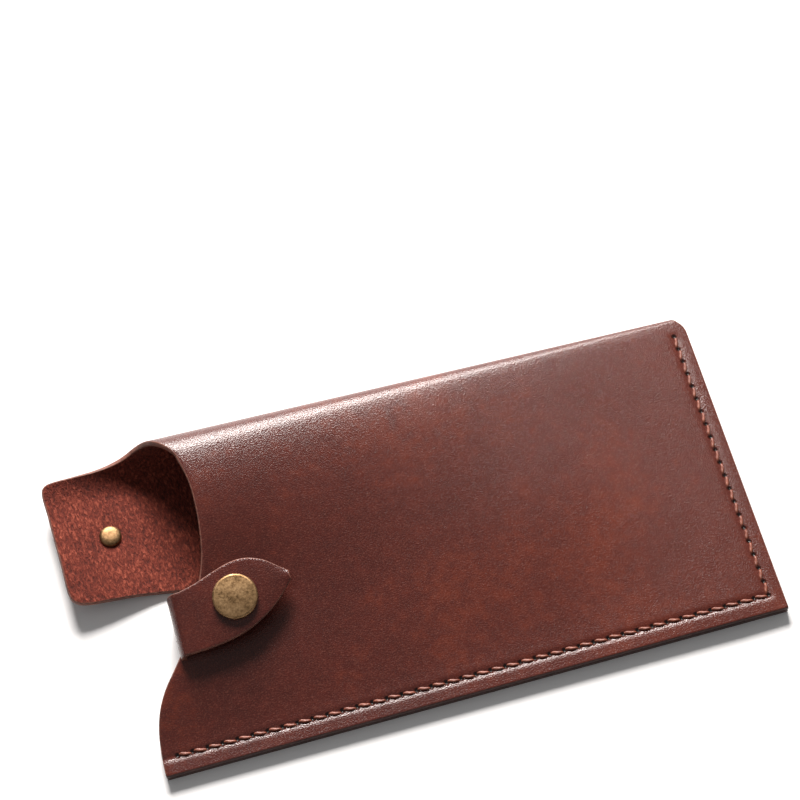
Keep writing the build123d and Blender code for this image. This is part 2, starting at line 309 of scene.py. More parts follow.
@dataclass
class PouchLeather:
    """The folded sheet: back panel, fold, front panel and the flap laid open at the mouth."""

    layout: Layout
    radius_mouth: float = 10.8
    radius_end: float = 1.9
    seam_flat: float = 6.5
    seam_inset_long: float = 4.7
    seam_inset_end: float = 3.8
    corner_radius: float = 6.0
    stud_lift: float = 3.2
    lift_start: float = 15.0
    lift_run: float = 22.0
    flap_curl: float = 0.009
    uncurl_start: float = 8.0
    uncurl: float = 12.0
    easing: float = 1.25
    hollow_x: float = 30.0
    hollow_y: float = 43.5
    hollow_depth: float = 1.8
    hollow_size: float = 14.0
    crease: tuple = ((13.0, 53.8), (3.0, 92.5))
    bend_reach: float = 3.15
    front_dent: float = 0.34
    back_dent: float = 0.55
    dent_width: float = 1.0
    dimple_depth: float = 0.35
    dimple_size: float = 4.2
    row_pitch: float = 1.0
    columns: int = 150
    mouth: tuple = (
        (0.0, 0.0), (0.0, 0.06), (0.3, 0.115), (2.2, 0.196), (6.8, 0.276), (12.6, 0.326), (15.0, 0.35),
        (15.0, 0.44), (15.2, 0.53), (16.9, 0.56), (17.6, 0.585), (16.0, 0.612), (11.5, 0.626),
        (4.0, 0.637), (-4.0, 0.642), (-10.0, 0.647), (-13.4, 0.660), (-14.8, 0.695),
        (-15.1, 0.8), (-15.6, 0.93), (-16.0, 1.06), (-16.1, 1.18), (-15.2, 1.24),
        (-12.4, 1.265), (-6.5, 1.277), (-1.0, 1.292), (4.0, 1.33), (8.5, 1.4), (12.0, 1.5), (15.2, 1.62),
        (18.0, 1.75), (20.8, 1.87), (23.2, 2.0), (24.9, 2.09), (25.3, 2.16), (24.9, 2.25),
        (23.4, 2.35), (20.5, 2.44), (16.8, 2.53), (12.4, 2.625), (8.6, 2.685), (5.2, 2.735), (2.6, 2.79),
        (0.9, 2.855), (0.1, 2.93), (0.0, 3.0),
    )

    def fold_radius(self, x: Array) -> Array:
        """Outer radius of the fold, tapering evenly to the sewn end."""
        taper = self.radius_mouth + (self.radius_end - self.radius_mouth) * x / self.layout.length
        return np.maximum(taper, self.radius_end)

    def front_height(self, x: Array, away: Array) -> Array:
        """Height of the front panel's middle at a distance away from the top of the fold.

        The panel leaves the fold level. Its slope grows to its full fall as one less e to the
        power of minus the distance over an easing length, and a smooth maximum runs it into
        the flat of the seam.

        Args:
            x: Lengths.
            away: Distances from the top of the fold, in plan.

        Returns:
            Heights.
        """
        half = self.layout.sheet / 2
        tight = self.fold_radius(x)
        top, floor = 2 * tight - half, 3 * half
        easing = self.easing * tight
        run = self.layout.width - tight - self.seam_flat
        steep = (top - floor) / (run - easing * (1 - np.exp(-run / easing)))
        line = top - steep * (away - easing * (1 - np.exp(-away / easing)))
        blend = np.minimum(0.6, (0.4 * (top - floor)) ** 2)
        return (line + floor + np.sqrt((line - floor) ** 2 + blend)) / 2

    def surface(self, x: Array, v: Array) -> Array:
        """Middle of the sheet at a length x and a place v round the section.

        v from 0 to 1 crosses the back panel, 1 to 2 goes round the fold on an arc, and 2 to 3
        comes down the front panel to the seam.
        Left of the mouth the arc opens out, and the flap is lifted by its stud.

        Args:
            x: Lengths.
            v: Places round the section, in the same shape.

        Returns:
            Points, with a last axis of three.
        """
        half = self.layout.sheet / 2
        tight = self.fold_radius(x)
        centre = self.layout.width - tight
        loose = np.clip((self.uncurl_start - x) / self.lift_run, 0.0, 2.0)
        radius = tight + self.uncurl * loose ** 2
        angle = np.clip(v - 1, 0, 1) * math.pi * (tight - half) / (radius - half)
        y = centre * np.clip(v, 0, 1) + (radius - half) * np.sin(angle)
        z = radius - (radius - half) * np.cos(angle)
        fall = np.clip(v - 2, 0, 1)
        front_y = centre * (1 - fall)
        front_z = self.front_height(x, centre - front_y) + self.softness(x, front_y, fall)
        on_front = v > 2
        y = np.where(on_front, front_y, y)
        z = np.where(on_front, front_z, z)
        z = z + self.flap_lift(x, v)
        return np.stack([x, y, z], -1)

    def softness(self, x: Array, y: Array, fall: Array) -> Array:
        """Slow waves of the limp front panel, and the hollow that the press stud's socket keeps."""
        free = np.sin(math.pi * fall) ** 2 * smooth_step((self.layout.length - x) / 60)
        wave = 0.30 * np.sin(x / 19.0 + 2.2 * fall + 0.6) + 0.22 * np.sin(x / 33.0 - 4.0 * fall)
        hollow = self.hollow_depth * bell(np.hypot(x - self.hollow_x, y - self.hollow_y), self.hollow_size)
        return free * wave - hollow

    def flap_lift(self, x: Array, v: Array) -> Array:
        """Height that the stud under the flap gives it, eased in from the mouth, and its curl."""
        rise = self.stud_lift * smooth_step((self.lift_start - x) / self.lift_run)
        rise = rise + self.flap_curl * np.clip(-x, 0.0, None) ** 2
        return rise * smooth_step((v - 0.5) / 0.12) * (v < 2)

    def normals(self, x: Array, v: Array) -> Array:
        """Grain-side normals: the cross product of the surface's two small differences."""
        step_x, step_v = 0.05, 0.0006
        by_x = self.surface(x + step_x, v) - self.surface(x - step_x, v)
        by_v = self.surface(x, np.minimum(v + step_v, 3)) - self.surface(x, np.maximum(v - step_v, 0))
        return unit(np.cross(by_v, by_x))

    def rows(self) -> tuple:
        """Rows spaced along the cut edge of the mouth, closer near the seam.

        Returns:
            The rows' places v and their lengths x at the mouth edge.
        """
        line = through(list(self.mouth), 40)
        x, v = line[:, 0], np.maximum.accumulate(line[:, 1] + np.arange(len(line)) * 1e-7)
        reach = np.interp(v, [0.0, 1.0, 1.001, 2.0, 2.001, 3.0], [84.0, 84.0, 33.0, 33.0, 82.0, 82.0])
        steps = np.hypot(np.diff(x), np.diff(v) * reach[1:])
        near_seam = np.minimum(v, 3 - v)[1:] < 0.11
        steps = steps * np.where(near_seam, 2.6, 1.0)
        run = np.concatenate([[0.0], np.cumsum(steps)])
        at = np.linspace(0.0, run[-1], int(run[-1] / self.row_pitch))
        return np.interp(at, run, v), np.interp(at, run, x)

    def end_edge(self, v: Array) -> Array:
        """Length x of the sewn end at each row: straight, with the fold's corner rounded."""
        length = np.full_like(v, self.layout.length)
        y = self.surface(length, v)[:, 1]
        past = np.clip(y - (self.layout.width - self.corner_radius), 0.0, self.corner_radius)
        return length - self.corner_radius + np.sqrt(self.corner_radius ** 2 - past ** 2)

    def grid(self) -> tuple:
        """Grid of lengths x and places v; columns keep their distance from the sewn end."""
        v, mouth_x = self.rows()
        end_x = self.end_edge(v)
        share = np.linspace(0.0, 1.0, self.columns)
        back = 20.0 * share ** 1.6 + 132.0 * share ** 1.15
        span = (end_x - mouth_x)[:, None]
        spread = np.clip((back - 15.0) / (back[-1] - 15.0), 0.0, 1.0)
        x = end_x[:, None] - back - spread * (span - back[-1])
        x = x[:, ::-1]
        return x, np.broadcast_to(v[:, None], x.shape).copy()

    def seam_dent(self, point: Array, v: Array) -> Array:
        """How far the drawn thread sinks the leather along both rows of stitches."""
        corner_x = self.layout.length - self.seam_inset_end
        x, y = point[..., 0], point[..., 1]
        wide, fade = self.dent_width, 1.5 * self.dent_width
        long_row = bell(y - self.seam_inset_long, wide) * smooth_step((corner_x + fade - x) / fade)
        end_row = bell(x - corner_x, wide) * smooth_step((y - self.seam_inset_long + fade) / fade)
        end_row = end_row * smooth_step((self.layout.width - 5.0 - y) / 2.0)
        depth = np.where(v > 2, self.front_dent, self.back_dent)
        return depth * np.maximum(long_row, end_row)

    def dimple(self, point: Array, v: Array, place: Array) -> Array:
        """How far the rivet pulls the flap's suede down round its dome."""
        apart = np.hypot(point[..., 0] - place[0], point[..., 1] - place[1])
        return self.dimple_depth * bell(apart, self.dimple_size) * (v < 1.2)

    def sheet(self) -> tuple:
        """The sheet's grids.

        Returns:
            The leather sheet and its grids of x and v.
        """
        x, v = self.grid()
        middle = self.surface(x, v)
        normal = self.normals(x, v)
        half = self.layout.sheet / 2
        grain = half - self.seam_dent(middle, v)
        suede = half - self.dimple(middle, v, self.layout.centre("stud_post"))
        return LeatherSheet(middle, normal, grain, suede), x, v

    def turn_share(self, x: Array, v: Array) -> Array:
        """How much of the flap's turn each point takes: none right of the crease, all left of it.

        The bend is wider near the fold, where the sheet already curls up.
        """
        y = self.surface(x, v)[..., 1]
        (low_x, low_y), (high_x, high_y) = self.crease
        crease_x = low_x + (high_x - low_x) * (y - low_y) / (high_y - low_y)
        reach = self.bend_reach * (1 + smooth_step((y - 76.0) / 14.0))
        rows = smooth_step((v - 0.57) / 0.05) * smooth_step((1.5 - v) / 0.2)
        return np.clip((crease_x - x + reach) / (2 * reach), 0.0, 1.0) * rows

    def make(self, finishes: list) -> bpy.types.Object:
        """Builds the sheet and stands it in for the CAD sheet, whose nodes it hides."""
        sheet, x, v = self.sheet()
        made = sheet.build().make("pouch_leather", self.layout, finishes)
        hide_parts("back_panel", "fold_spine", "front_panel", "flap_bend", "closure_flap")
        right = self.layout.metres(np.array([16.0, 54.0, 1.0]))
        left = self.layout.metres(np.array([10.0, 54.0, 1.0]))
        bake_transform(made)
        sheet.paint_turn(made, self.turn_share(x, v))
        return made

    def front_face(self, x: Array, y: Array) -> Array:
        """Height of the front panel's undented grain face at places in plan."""
        top_y = self.layout.width - self.fold_radius(x)
        return self.surface(x, 2 + np.clip(1 - y / top_y, 1e-4, 1.0))[..., 2] + self.layout.sheet / 2


@dataclass
class StrapLeather:
    """The pointed strap: from the back panel round the mouth edge and over the front."""

    layout: Layout
    root_x: float = 15.0
    bend: float = 3.2
    low_y: float = 28.7
    high_y: float = 45.2
    tip_droop: float = 0.7
    crown: float = 0.25
    squareness: float = 0.62
    upper: tuple = ((15.0, 45.2), (19.5, 46.3), (25.0, 48.2), (30.0, 49.6), (34.5, 49.7),
                    (39.0, 48.2), (42.6, 45.5), (45.0, 43.5))
    lower: tuple = ((15.0, 28.7), (20.0, 29.0), (26.0, 29.9), (31.5, 31.4), (36.5, 34.0),
                    (40.5, 37.0), (43.3, 39.9), (45.0, 41.8))
    rows: int = 34
    bend_columns: int = 15
    bend_start: float = 0.15
    bend_stop: float = 0.85
    leaf_columns: int = 62
    slope: float = field(init=False)
    level: float = field(init=False)
    middle_y: float = field(init=False)

    def __post_init__(self) -> None:
        """Reads the leaf's slope and height from the strap's joint."""
        joint = next(j for j in frame["joints"] if j["name"] == "strap_hinge")
        axis = joint["axis"]
        self.slope = axis[2] / axis[1]
        place = np.array(joint["pos_m"]) / MM - self.layout.origin
        self.middle_y = place[1]
        self.level = place[2] + self.bend * (1 - math.cos(math.radians(45)))

    def leaf_edges(self, x: Array) -> tuple:
        """Lower and upper outline of the leaf at lengths x, from smooth lines through its points."""
        low, high = through(list(self.lower), 30), through(list(self.upper), 30)
        return np.interp(x, low[:, 0], low[:, 1]), np.interp(x, high[:, 0], high[:, 1])

    def columns(self) -> tuple:
        """Where each column lies along the strap.

        Returns:
            The turn in radians of each bend column, and the length x of each leaf column.
        """
        turn = np.linspace(-math.pi / 2, math.pi / 2, 2 * self.bend_columns + 1)
        share = np.linspace(0.0, 1.0, self.leaf_columns + 1)[1:]
        tip = self.upper[-1][0]
        leaf = self.root_x + (tip - self.root_x) * (1 - (1 - share) ** 1.25)
        return turn, leaf

    def middle(self) -> Array:
        """Grid of middle points: rows across the strap, columns from its root to its tip.

        The bend is a flattened oval in x and z, its height growing with y, and the leaf is a
        sloping plane with a slight crown across it and a drooping tip.

        Returns:
            Points, rows by columns by three.
        """
        turn, leaf = self.columns()
        across = np.linspace(1.0, 0.0, self.rows)[:, None]
        half = self.layout.sheet / 2
        y_bend = self.low_y + (self.high_y - self.low_y) * across + 0 * turn
        top = self.level + (y_bend - self.middle_y) * self.slope
        x_bend = self.root_x - self.bend * np.cos(turn) ** self.squareness
        rise = np.sign(np.sin(turn)) * np.abs(np.sin(turn)) ** self.squareness
        z_bend = half + (top - half) * (1 + rise) / 2
        low, high = self.leaf_edges(leaf)
        y_leaf = low + (high - low) * across
        z_leaf = self.level + (y_leaf - self.middle_y) * self.slope
        reach = (leaf - self.root_x) / (self.upper[-1][0] - self.root_x)
        z_leaf = z_leaf - self.tip_droop * smooth_step((reach - 0.55) / 0.45)
        z_leaf = z_leaf - self.crown * (2 * across - 1) ** 2 * smooth_step(reach * 3)
        bend = np.stack([x_bend + 0 * y_bend, y_bend, z_bend], -1)
        flat = np.stack([leaf + 0 * y_leaf, y_leaf, z_leaf], -1)
        return np.concatenate([bend, flat], 1)

    def part(self, middle: Array, columns: slice, joined_column: int) -> LeatherSheet:
        """One stretch of the strap as a closed sheet.

        Args:
            middle: The whole strap's grid.
            columns: The stretch's columns.
            joined_column: The column, of the stretch, where the other stretch carries on.

        Returns:
            The sheet.
        """
        by_row = np.gradient(middle, axis=0)
        by_column = np.gradient(middle, axis=1)
        normal = unit(np.cross(by_row, by_column))[:, columns]
        lift = np.full(normal.shape[:2], self.layout.sheet / 2)
        return LeatherSheet(middle[:, columns], normal, lift, lift, joined_column=joined_column)

    def make(self, finishes: list) -> list:
        """Builds the strap as two stretches that meet halfway up the riser.

        Returns:
            The root stretch and the leaf stretch.
        """
        middle = self.middle()
        split = self.bend_columns
        made = []
        stretches = (
            ("strap_root_leather", slice(0, split + 1), -1, Body.POUCH, Body.RISER,
             ("strap_low_bend", "strap_riser")),
            ("strap_leather", slice(split, middle.shape[1]), 0, Body.RISER, Body.STRAP,
             ("strap_high_bend", "closure_strap")),
        )
        for name, columns, joined_column, first, second, nodes in stretches:
            sheet = self.part(middle, columns, joined_column)
            piece = sheet.build().make(name, self.layout, finishes)
            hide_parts(*nodes)
            end_a, end_b = middle[0, columns][0], middle[0, columns][-1]
            tuple(self.layout.metres(end_a))
            tuple(self.layout.metres(end_b + np.array([0.0, 0.0, 1.0])))
            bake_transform(piece)
            sheet.paint_turn(piece, self.turn_share(sheet.middle.shape[1]))
            made.append(piece)
        return made

    def turn_share(self, count: int) -> Array:
        """How much of its joint's turn each column of a stretch takes, eased over its bend."""
        column = np.arange(count) / self.bend_columns
        return smooth_step((column - self.bend_start) / (self.bend_stop - self.bend_start))


@dataclass
class Seam:
    """The lockstitched seam: upper stitches on the front, lower ones in the back's dent."""

    layout: Layout
    leather: PouchLeather
    pitch: float = 4.15
    long_count: int = 40
    end_count: int = 20
    radius: float = 0.42
    lower_radius: float = 0.34
    slant: float = 0.42
    hole_inset: float = 0.30
    ply_swell: float = 0.13
    twist: float = 5.2
    sides: int = 14
    steps: int = 18
    seed: int = 7

    def holes(self) -> Array:
        """Awl holes in plan, down the sewn end and back along the long edge."""
        corner = np.array([self.layout.length - self.leather.seam_inset_end, self.leather.seam_inset_long])
        down = corner + np.arange(self.end_count, 0, -1)[:, None] * np.array([0.0, self.pitch])
        along = corner - np.arange(self.long_count + 1)[:, None] * np.array([self.pitch, 0.0])
        return np.vstack([down, along])

    def stitches(self, upper: bool) -> MeshData:
        """Every stitch as a twisted cord that rises from one hole and dips into the next.

        Along the stitch the height follows one less the fifth power of the distance from its
        middle, so it leaves the hole steeply and lies flat between. Round the cord the radius
        swells twice, and the swell turns with the length, which gives the two plies of a
        twisted thread.

        Args:
            upper: True for the front, False for the back.

        Returns:
            The stitches as one mesh.
        """
        holes = self.holes()
        start, end = holes[:-1], holes[1:]
        count = len(start)
        rng = np.random.default_rng(self.seed)
        way = unit(end - start)
        side = np.stack([-way[:, 1], way[:, 0]], -1)
        t = np.linspace(0.0, 1.0, self.steps)
        wobble = rng.normal(0.0, 0.05, (count, 1))
        reach = self.hole_inset + (self.pitch - 2 * self.hole_inset) * t
        sway = (0.5 - t)[None, :, None] * 2 * self.slant + wobble[:, None]
        plan = start[:, None] + way[:, None] * reach[None, :, None] + side[:, None] * sway
        arch = 1 - np.abs(2 * t - 1) ** 5
        level = self.leather.front_face(plan[..., 0], plan[..., 1]) - 0.34
        height = level - 0.75 + (0.98 + rng.normal(0.0, 0.03, (count, 1))) * arch
        if not upper:
            height = 1.15 - 0.73 * arch + 0 * height
        path = np.concatenate([plan, height[..., None]], -1)
        ahead = unit(np.gradient(path, axis=1))
        across = unit(np.cross(ahead, np.array([0.0, 0.0, 1.0])))
        above = np.cross(across, ahead)
        turn = np.linspace(0.0, 2 * math.pi, self.sides, endpoint=False)
        ply = 1 + self.ply_swell * np.cos(2 * (turn[None, None, :] - self.twist * t[None, :, None]))
        ends = (0.55 + 0.45 * (1 - np.abs(2 * t - 1) ** 4))[None, :, None]
        ring = (self.radius if upper else self.lower_radius) * ply * ends
        tube = (path[:, :, None] + across[:, :, None] * (ring * np.cos(turn))[..., None]
                + above[:, :, None] * (0.88 * ring * np.sin(turn))[..., None])
        return self.capped(tube.reshape(count, -1, 3), path)

    def capped(self, tubes: Array, path: Array) -> MeshData:
        """Closes each tube with a pole at both ends.

        Args:
            tubes: Ring points of each stitch.
            path: Middle line of each stitch.

        Returns:
            One mesh of all stitches.
        """
        points = np.concatenate([tubes, path[:, :1], path[:, -1:]], 1)
        base = np.arange(len(tubes))[:, None, None] * points.shape[1]
        body = quads(self.steps, self.sides, closed=True) + base
        fans = pole_fans(self.steps, self.sides) + base
        faces = body.reshape(-1, 4).tolist() + fans.reshape(-1, 3).tolist()
        return MeshData(points.reshape(-1, 3), faces, np.zeros(len(faces)))

    def make(self, finish: Material) -> list:
        """Builds both threads; each rides on the pouch."""
        made = []
        for name, node, upper in (("needle_stitches", "needle_thread", True),
                                  ("bobbin_stitches", "bobbin_thread", False)):
            piece = self.stitches(upper).make(name, self.layout, [finish])
            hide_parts(node)
            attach(piece, Body.POUCH.value)
            made.append(piece)
        return made


@dataclass
class TurnedPart:
    """A round part: a closed outline in radius and height, turned about an axis."""

    outline: list
    origin: Array
    axis: Array
    sides: int = 96

    def build(self) -> MeshData:
        """Turns the outline; points on the axis become single poles.

        Returns:
            The closed mesh.
        """
        line = np.asarray(self.outline, float)
        up = unit(self.axis)
        right = unit(np.cross(np.array([0.0, 1.0, 0.0]), up))
        forward = np.cross(up, right)
        turn = np.linspace(0.0, 2 * math.pi, self.sides, endpoint=False)
        round_way = np.cos(turn)[:, None] * right + np.sin(turn)[:, None] * forward
        points = self.origin + line[:, 0, None, None] * round_way + line[:, 1, None, None] * up
        points = points.reshape(-1, 3)
        body = quads(len(line), self.sides, closed=True)
        if np.allclose(line[0], line[-1]):
            count = len(points) - self.sides
            return MeshData(points[:count], (body % count).tolist(), np.zeros(len(body)))
        poles = self.origin + line[[0, -1], 1][:, None] * up
        faces = body.tolist() + pole_fans(len(line), self.sides).tolist()
        return MeshData(np.vstack([points, poles]), faces, np.zeros(len(faces)))


def arc_points(centre: tuple, radius: float, start: float, stop: float, count: int) -> list:
    """Points on a circular arc in radius and height; angles in degrees.

    Args:
        centre: The arc's centre.
        radius: The arc's radius.
        start: First angle.
        stop: Last angle.
        count: Number of points.

    Returns:
        The points in order.
    """
    angle = np.radians(np.linspace(start, stop, count))
    return np.stack([centre[0] + radius * np.cos(angle), centre[1] + radius * np.sin(angle)], -1).tolist()


@dataclass
class PressStud:
    """The press stud: cap and socket on the strap, rivet and stud on the flap."""

    layout: Layout
    strap: StrapLeather
    pouch: PouchLeather
    cap_radius: float = 6.25
    cap_height: float = 1.9
    socket_radius: float = 5.2
    socket_height: float = 2.7
    dome_radius: float = 3.15
    dome_height: float = 1.35
    flange_radius: float = 4.7
    stud_height: float = 2.2

    def strap_frame(self) -> tuple:
        """Middle of the strap under the cap, and its upward normal."""
        up = unit(np.array([0.0, -self.strap.slope, 1.0]))
        centre = self.layout.centre("socket_spring")
        level = self.strap.level + (centre[1] - self.strap.middle_y) * self.strap.slope
        offset = (level - centre[2]) * up[2]
        return centre + up * offset, up

    def flap_frame(self) -> tuple:
        """Middle of the flap at the rivet, and its upward normal."""
        node = self.layout.centre("stud_post")
        x = np.array([node[0]])
        v = np.array([(node[1]) / (self.layout.width - self.pouch.fold_radius(x)[0])])
        middle = self.pouch.surface(x, v)[0]
        return middle, -self.pouch.normals(x, v)[0]

    def cap_outline(self) -> list:
        """Cap: shallow dome, rolled rim, hollow underside."""
        face = self.layout.sheet / 2 - 0.12
        rim = 0.75
        shoulder = face + self.cap_height - 0.35
        dome = [[r, shoulder + 0.35 * (1 - (r / (self.cap_radius - rim)) ** 2)]
                for r in np.linspace(0.02, self.cap_radius - rim, 14)]
        roll = arc_points((self.cap_radius - rim, shoulder - rim), rim, 84, 0, 9)
        lip = 0.18
        skirt = [[self.cap_radius, face + lip]]
        skirt += arc_points((self.cap_radius - lip, face + lip), lip, -15, -90, 5)
        return dome + roll + skirt + [[0.02, face]]

    def dome_outline(self) -> list:
        """Rivet head: a rounded button on the suede."""
        face = self.layout.sheet / 2 - 0.45
        head = self.dome_height + 0.25
        angle = np.radians(np.linspace(89.0, 0.0, 14))
        button = [[self.dome_radius * math.cos(a) ** 0.62, face + 0.3 + 0.8 * head * math.sin(a) ** 0.75]
                  for a in angle]
        return button + [[self.dome_radius - 0.08, face + 0.1], [self.dome_radius - 0.25, face], [0.02, face]]

    def socket_outline(self) -> list:
        """Socket: a ring with a rounded shoulder and a bore for the stud."""
        top = -self.layout.sheet / 2 + 0.1
        bottom = -self.layout.sheet / 2 - self.socket_height
        wall = [[1.6, top], [self.socket_radius, top]]
        wall += arc_points((self.socket_radius - 0.5, bottom + 0.9), 0.5, 0, -60, 6)
        wall += arc_points((4.0, bottom + 0.5), 0.5, -40, -140, 8)
        wall += [[3.1, bottom + 0.55], [3.0, bottom + 0.9], [3.0, top - 0.6], [1.6, top - 0.6], [1.6, top]]
        return wall

    def spring_outline(self) -> list:
        """Spring wire ring inside the socket."""
        middle = -self.layout.sheet / 2 - self.socket_height / 2 - 0.2
        return arc_points((2.76, middle), 0.25, 360, 0, 17)

    def stud_outline(self) -> list:
        """Stud: a flange against the grain side, a neck and a bulged head."""
        top = -self.layout.sheet / 2 + 0.05
        bottom = -self.layout.sheet / 2 - self.stud_height
        head = arc_points((1.9, bottom + 0.62), 0.6, 60, -90, 9)
        return ([[1.35, top], [self.flange_radius, top]]
                + arc_points((self.flange_radius - 0.2, top - 0.25), 0.2, 0, -90, 5)
                + [[2.4, top - 0.5], [2.15, top - 0.8]] + head + [[1.35, bottom + 0.02], [1.35, top]])

    def make(self, brass: Material, rivet: Material, wire: Material) -> list:
        """Builds the five turned parts on their bodies."""
        frames = {Body.STRAP: self.strap_frame(), Body.FLAP: self.flap_frame()}
        parts = (
            ("cap_button", "snap_cap", self.cap_outline(), Body.STRAP, brass, "brass"),
            ("socket_ring", "snap_socket", self.socket_outline(), Body.STRAP, brass, "brass"),
            ("spring_ring", "socket_spring", self.spring_outline(), Body.STRAP, wire, "spring"),
            ("flap_stud", "snap_stud", self.stud_outline(), Body.FLAP, brass, "brass"),
            ("rivet_button", "stud_post", self.dome_outline(), Body.FLAP, rivet, "brass"),
        )
        made = []
        for name, node, outline, body, finish, slot in parts:
            piece = TurnedPart(outline, *frames[body]).build().make(name, self.layout, [finish])
            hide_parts(node)
            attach(piece, body.value)
            made.append(piece)
        return made


class Shader:
    """Small helper that adds nodes to one material and links them."""

    def __init__(self, name: str) -> None:
        """Starts a node material with one Principled shader."""
        self.material = bpy.data.materials.new(name)
        self.material.use_nodes = True
        self.tree = self.material.node_tree
        self.shader = self.tree.nodes["Principled BSDF"]

    def node(self, kind: str, values: dict | None = None, **links: object) -> bpy.types.Node:
        """Adds a node.

        Args:
            kind: The node's type name.
            values: Plain values for its sockets or settings, by name.
            links: Sockets to link, by input name with spaces as underscores.

        Returns:
            The node.
        """
        made = self.tree.nodes.new(kind)
        for key, value in (values or {}).items():
            if key in made.inputs:
                made.inputs[key].default_value = value
            else:
                setattr(made, key, value)
        for key, socket in links.items():
            self.tree.links.new(socket, made.inputs[key.replace("_", " ")])
        return made

    def place(self) -> Socket:
        """Each point's place at rest, carried by the mesh, so a pattern stays on the leather."""
        return self.node("ShaderNodeAttribute", {"attribute_name": REST_PLACE}).outputs["Vector"]

    def noise(self, at: Socket, scale: float, detail: float = 3.0, rough: float = 0.55,
              distortion: float = 0.0) -> Socket:
        """Noise value at a place."""
        made = self.node("ShaderNodeTexNoise", {"Scale": scale, "Detail": detail, "Roughness": rough,
                                                "Distortion": distortion}, Vector=at)
        return made.outputs["Fac"]

    def cells(self, at: Socket, scale: float) -> Socket:
        """Distance value of Voronoi cells at a place."""
        return self.node("ShaderNodeTexVoronoi", {"Scale": scale}, Vector=at).outputs["Distance"]

    def plug(self, value: object, into: Socket) -> None:
        """Links a socket, or sets a plain number or colour."""
        if isinstance(value, Socket):
            self.tree.links.new(value, into)
        else:
            into.default_value = (*value, 1.0) if isinstance(value, tuple) else value

    def math(self, operation: str, a: object, b: object = 0.0, clamp: bool = False) -> Socket:
        """Math node on sockets or numbers."""
        made = self.node("ShaderNodeMath", {"operation": operation, "use_clamp": clamp})
        self.plug(a, made.inputs[0])
        self.plug(b, made.inputs[1])
        return made.outputs[0]

    def weigh(self, share: float, a: Socket, b: Socket) -> Socket:
        """A share of one value plus the rest of another."""
        return self.math("ADD", self.math("MULTIPLY", a, share), self.math("MULTIPLY", b, 1 - share))

    def ramp(self, at: Socket, stops: list) -> Socket:
        """Colour ramp of (place, colour) stops."""
        made = self.node("ShaderNodeValToRGB", {}, Fac=at)
        band = made.color_ramp
        while len(band.elements) < len(stops):
            band.elements.new(0.5)
        for element, (place, colour) in zip(band.elements, stops):
            element.position = place
            element.color = (*colour, 1.0)
        return made.outputs["Color"]

    def mix(self, share: object, a: object, b: object) -> Socket:
        """Colour mix of sockets or plain colours; inputs 6 and 7 are the node's two colours."""
        made = self.node("ShaderNodeMix", {"data_type": "RGBA"})
        for index, value in ((0, share), (6, a), (7, b)):
            self.plug(value, made.inputs[index])
        return made.outputs[2]

    def axes(self, at: Socket) -> tuple:
        """The x, y and z of a place."""
        made = self.node("ShaderNodeSeparateXYZ", {}, Vector=at)
        return made.outputs[0], made.outputs[1], made.outputs[2]

    def scaled(self, at: Socket, scale: tuple, turn: tuple = (0.0, 0.0, 0.0)) -> Socket:
        """A place turned and scaled, for stretched patterns."""
        made = self.node("ShaderNodeMapping", {"Scale": scale, "Rotation": turn}, Vector=at)
        return made.outputs["Vector"]

    def bump(self, height: Socket, strength: float, distance: float,
             under: Socket | None = None) -> Socket:
        """Bump from a height, over another bump if one is given."""
        made = self.node("ShaderNodeBump", {"Strength": strength, "Distance": distance}, Height=height)
        if under is not None:
            self.tree.links.new(under, made.inputs["Normal"])
        return made.outputs["Normal"]

    def finish(self, colour: Socket, roughness: object, normal: Socket,
               values: dict) -> Material:
        """Links the surface and sets the shader's plain values.

        Args:
            colour: Base colour.
            roughness: Roughness socket or number.
            normal: Bumped normal.
            values: Plain values set straight on the shader.

        Returns:
            The material.
        """
        linked = {"Base Color": colour, "Normal": normal, "Roughness": roughness}
        for key, value in {**linked, **values}.items():
            self.plug(value, self.shader.inputs[key])
        return self.material


